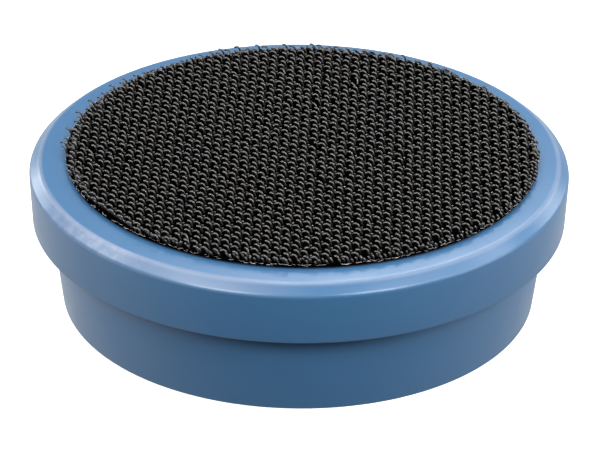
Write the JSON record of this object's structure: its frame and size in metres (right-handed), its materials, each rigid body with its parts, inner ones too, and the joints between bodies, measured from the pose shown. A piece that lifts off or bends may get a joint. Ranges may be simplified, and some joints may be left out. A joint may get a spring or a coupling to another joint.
{
  "type": "magnetic glass cleaner",
  "caption": "Round two-step puck, the wet-side half of a magnetic aquarium glass cleaner, with a hook-tape cleaning face on a wide chamfered head over a narrower tapered cup.",
  "frame": {"origin": "centre of the resting face under the cup", "axes": "+Z along the puck's axis, out of the cleaning face; the object is round about Z, and +X is the side that the tape is laid slightly towards"},
  "size_m": [0.08, 0.08, 0.0243],
  "materials": {
    "blue_plastic": "satin",
    "black_nylon": "satin",
    "adhesive_film": "matte",
    "black_rubber": "matte",
    "grey_plastic": "matte",
    "nickel_plate": "polished",
    "zinc_steel": "satin",
    "white_foam": "matte"
  },
  "bodies": {
    "root": {"face_housing": "blue_plastic", "rear_cup": "blue_plastic", "hook_tape": "black_nylon", "tape_adhesive": "adhesive_film", "seal_ring": "black_rubber", "magnet_carrier": "grey_plastic", "magnet_1": "nickel_plate", "magnet_2": "nickel_plate", "magnet_3": "nickel_plate", "magnet_4": "nickel_plate", "magnet_5": "nickel_plate", "magnet_6": "nickel_plate", "magnet_7": "nickel_plate", "magnet_8": "nickel_plate", "yoke_plate": "zinc_steel", "carrier_screw_1": "zinc_steel", "carrier_screw_2": "zinc_steel", "carrier_screw_3": "zinc_steel", "carrier_screw_4": "zinc_steel", "float_foam": "white_foam"}
  },
  "joints": []
}
